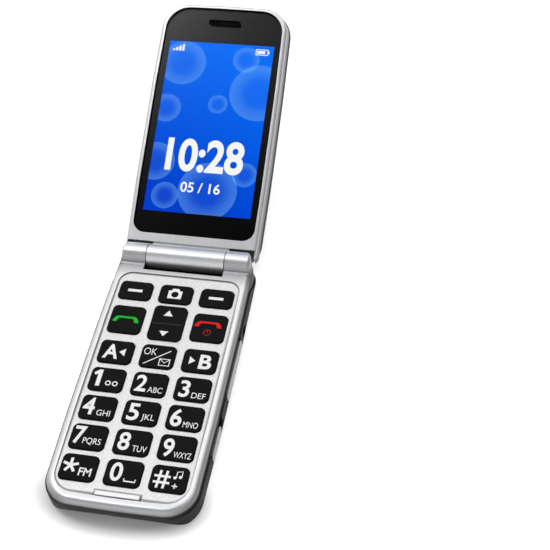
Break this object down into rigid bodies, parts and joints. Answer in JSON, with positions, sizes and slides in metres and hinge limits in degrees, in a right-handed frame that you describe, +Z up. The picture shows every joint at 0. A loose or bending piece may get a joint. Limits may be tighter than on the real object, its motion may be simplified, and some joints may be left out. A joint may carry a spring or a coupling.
{
  "type": "flip phone",
  "caption": "Folding mobile phone lying open on its flat back: big raised keys on a pale plate, tall screen in the hinged lid, side rocker and slider.",
  "frame": {"origin": "centre of the base's flat back, which it lies on", "axes": "+Z up out of the keypad, +Y from the mouth end to the hinge, +X towards the side with the headphone socket"},
  "size_m": [0.0554, 0.2115, 0.055],
  "materials": {
    "silver_lacquer": "satin silver lacquer on ABS",
    "silver_plate": "fine metallic satin",
    "charcoal_case": "fine matt texture",
    "graphite_cover": "satin graphite lacquer",
    "key_black": "matt",
    "clear_lens": "clear polished acrylic",
    "black_print": "black print",
    "screen_module": "lit screen",
    "circuit_board": "solder mask",
    "steel_parts": "plain steel",
    "gold_contacts": "gold flash",
    "battery_can": "wrapped can",
    "silicone": "soft matt",
    "black_plastic": "moulded",
    "dark_window": "polished",
    "camera_glass": "polished",
    "bright_trim": "satin",
    "flex_film": "film"
  },
  "bodies": {
    "base": {"base_frame": "silver_lacquer", "keypad_plate": "silver_plate", "closing_stop": "silver_plate", "rear_case": "charcoal_case", "battery_cover": "charcoal_case", "battery": "battery_can", "main_board": "circuit_board", "board_parts": "steel_parts", "dome_sheet": "steel_parts", "keypad_web": "silicone", "headphone_jack": "black_plastic", "usb_port": "steel_parts", "loudspeaker": "black_plastic", "vibration_motor": "steel_parts", "charging_contacts": "gold_contacts", "torch_window": "dark_window", "base_screws": "steel_parts", "hinge_can": "steel_parts", "hinge_spring": "steel_parts", "hinge_follower": "steel_parts", "pivot_tube": "black_plastic"},
    "lid": {"lid_frame": "silver_lacquer", "lid_cover": "graphite_cover", "screen_lens": "clear_lens", "lens_mask": "black_print", "lcd_module": "screen_module", "lid_board": "circuit_board", "earpiece": "black_plastic", "camera_module": "black_plastic", "camera_window": "camera_glass", "indicator_windows": "dark_window", "trim_strip": "bright_trim", "lid_magnet": "steel_parts", "display_flex": "flex_film", "lid_screws": "steel_parts", "hinge_cam": "steel_parts"},
    "volume_rocker": {"volume_rocker": "silver_lacquer"},
    "torch_slider": {"torch_slider": "silver_lacquer"},
    "motor_rotor": {"motor_weight": "steel_parts"},
    "soft_left_key": {"soft_left_key": "key_black"},
    "camera_key": {"camera_key": "key_black"},
    "soft_right_key": {"soft_right_key": "key_black"},
    "call_key": {"call_key": "key_black"},
    "navigation_key": {"navigation_key": "key_black"},
    "end_key": {"end_key": "key_black"},
    "memory_a_key": {"memory_a_key": "key_black"},
    "ok_key": {"ok_key": "key_black"},
    "memory_b_key": {"memory_b_key": "key_black"},
    "digit_0_key": {"digit_0_key": "key_black"},
    "digit_1_key": {"digit_1_key": "key_black"},
    "digit_2_key": {"digit_2_key": "key_black"},
    "digit_3_key": {"digit_3_key": "key_black"},
    "digit_4_key": {"digit_4_key": "key_black"},
    "digit_5_key": {"digit_5_key": "key_black"},
    "digit_6_key": {"digit_6_key": "key_black"},
    "digit_7_key": {"digit_7_key": "key_black"},
    "digit_8_key": {"digit_8_key": "key_black"},
    "digit_9_key": {"digit_9_key": "key_black"},
    "star_key": {"star_key": "key_black"},
    "hash_key": {"hash_key": "key_black"}
  },
  "joints": [
    {"name": "lid_hinge", "type": "hinge", "parent": "base", "child": "lid", "pos_m": [0, 0.0523, 0.0098], "axis": [1, 0, 0], "range_deg": [0, 154.4]},
    {"name": "volume_rock", "type": "hinge", "parent": "base", "child": "volume_rocker", "pos_m": [0.0252, 0.0063, 0.0039], "axis": [0, 0, 1], "range_deg": [-1.2, 1.2], "stiffness_Nm_per_rad": 0.05},
    {"name": "torch_slide", "type": "slide", "parent": "base", "child": "torch_slider", "axis": [0, 1, 0], "range_m": [0, 0.0032]},
    {"name": "motor_spin", "type": "hinge", "parent": "base", "child": "motor_rotor", "pos_m": [0.0131, -0.0492, 0.0036], "axis": [1, 0, 0], "continuous": true},
    {"name": "navigation_rock", "type": "hinge", "parent": "base", "child": "navigation_key", "pos_m": [0, 0.0201, 0.0091], "axis": [1, 0, 0], "range_deg": [-1.6, 1.6], "stiffness_Nm_per_rad": 0.03},
    {"name": "soft_left_press", "type": "slide", "parent": "base", "child": "soft_left_key", "axis": [0, 0, -1], "range_m": [0, 0.00035], "stiffness_N_per_m": 400},
    {"name": "camera_press", "type": "slide", "parent": "base", "child": "camera_key", "axis": [0, 0, -1], "range_m": [0, 0.00035], "stiffness_N_per_m": 400},
    {"name": "soft_right_press", "type": "slide", "parent": "base", "child": "soft_right_key", "axis": [0, 0, -1], "range_m": [0, 0.00035], "stiffness_N_per_m": 400},
    {"name": "call_press", "type": "slide", "parent": "base", "child": "call_key", "axis": [0, 0, -1], "range_m": [0, 0.00035], "stiffness_N_per_m": 400},
    {"name": "end_press", "type": "slide", "parent": "base", "child": "end_key", "axis": [0, 0, -1], "range_m": [0, 0.00035], "stiffness_N_per_m": 400},
    {"name": "memory_a_press", "type": "slide", "parent": "base", "child": "memory_a_key", "axis": [0, 0, -1], "range_m": [0, 0.00035], "stiffness_N_per_m": 400},
    {"name": "ok_press", "type": "slide", "parent": "base", "child": "ok_key", "axis": [0, 0, -1], "range_m": [0, 0.00035], "stiffness_N_per_m": 400},
    {"name": "memory_b_press", "type": "slide", "parent": "base", "child": "memory_b_key", "axis": [0, 0, -1], "range_m": [0, 0.00035], "stiffness_N_per_m": 400},
    {"name": "digit_0_press", "type": "slide", "parent": "base", "child": "digit_0_key", "axis": [0, 0, -1], "range_m": [0, 0.00035], "stiffness_N_per_m": 400},
    {"name": "digit_1_press", "type": "slide", "parent": "base", "child": "digit_1_key", "axis": [0, 0, -1], "range_m": [0, 0.00035], "stiffness_N_per_m": 400},
    {"name": "digit_2_press", "type": "slide", "parent": "base", "child": "digit_2_key", "axis": [0, 0, -1], "range_m": [0, 0.00035], "stiffness_N_per_m": 400},
    {"name": "digit_3_press", "type": "slide", "parent": "base", "child": "digit_3_key", "axis": [0, 0, -1], "range_m": [0, 0.00035], "stiffness_N_per_m": 400},
    {"name": "digit_4_press", "type": "slide", "parent": "base", "child": "digit_4_key", "axis": [0, 0, -1], "range_m": [0, 0.00035], "stiffness_N_per_m": 400},
    {"name": "digit_5_press", "type": "slide", "parent": "base", "child": "digit_5_key", "axis": [0, 0, -1], "range_m": [0, 0.00035], "stiffness_N_per_m": 400},
    {"name": "digit_6_press", "type": "slide", "parent": "base", "child": "digit_6_key", "axis": [0, 0, -1], "range_m": [0, 0.00035], "stiffness_N_per_m": 400},
    {"name": "digit_7_press", "type": "slide", "parent": "base", "child": "digit_7_key", "axis": [0, 0, -1], "range_m": [0, 0.00035], "stiffness_N_per_m": 400},
    {"name": "digit_8_press", "type": "slide", "parent": "base", "child": "digit_8_key", "axis": [0, 0, -1], "range_m": [0, 0.00035], "stiffness_N_per_m": 400},
    {"name": "digit_9_press", "type": "slide", "parent": "base", "child": "digit_9_key", "axis": [0, 0, -1], "range_m": [0, 0.00035], "stiffness_N_per_m": 400},
    {"name": "star_press", "type": "slide", "parent": "base", "child": "star_key", "axis": [0, 0, -1], "range_m": [0, 0.00035], "stiffness_N_per_m": 400},
    {"name": "hash_press", "type": "slide", "parent": "base", "child": "hash_key", "axis": [0, 0, -1], "range_m": [0, 0.00035], "stiffness_N_per_m": 400}
  ]
}
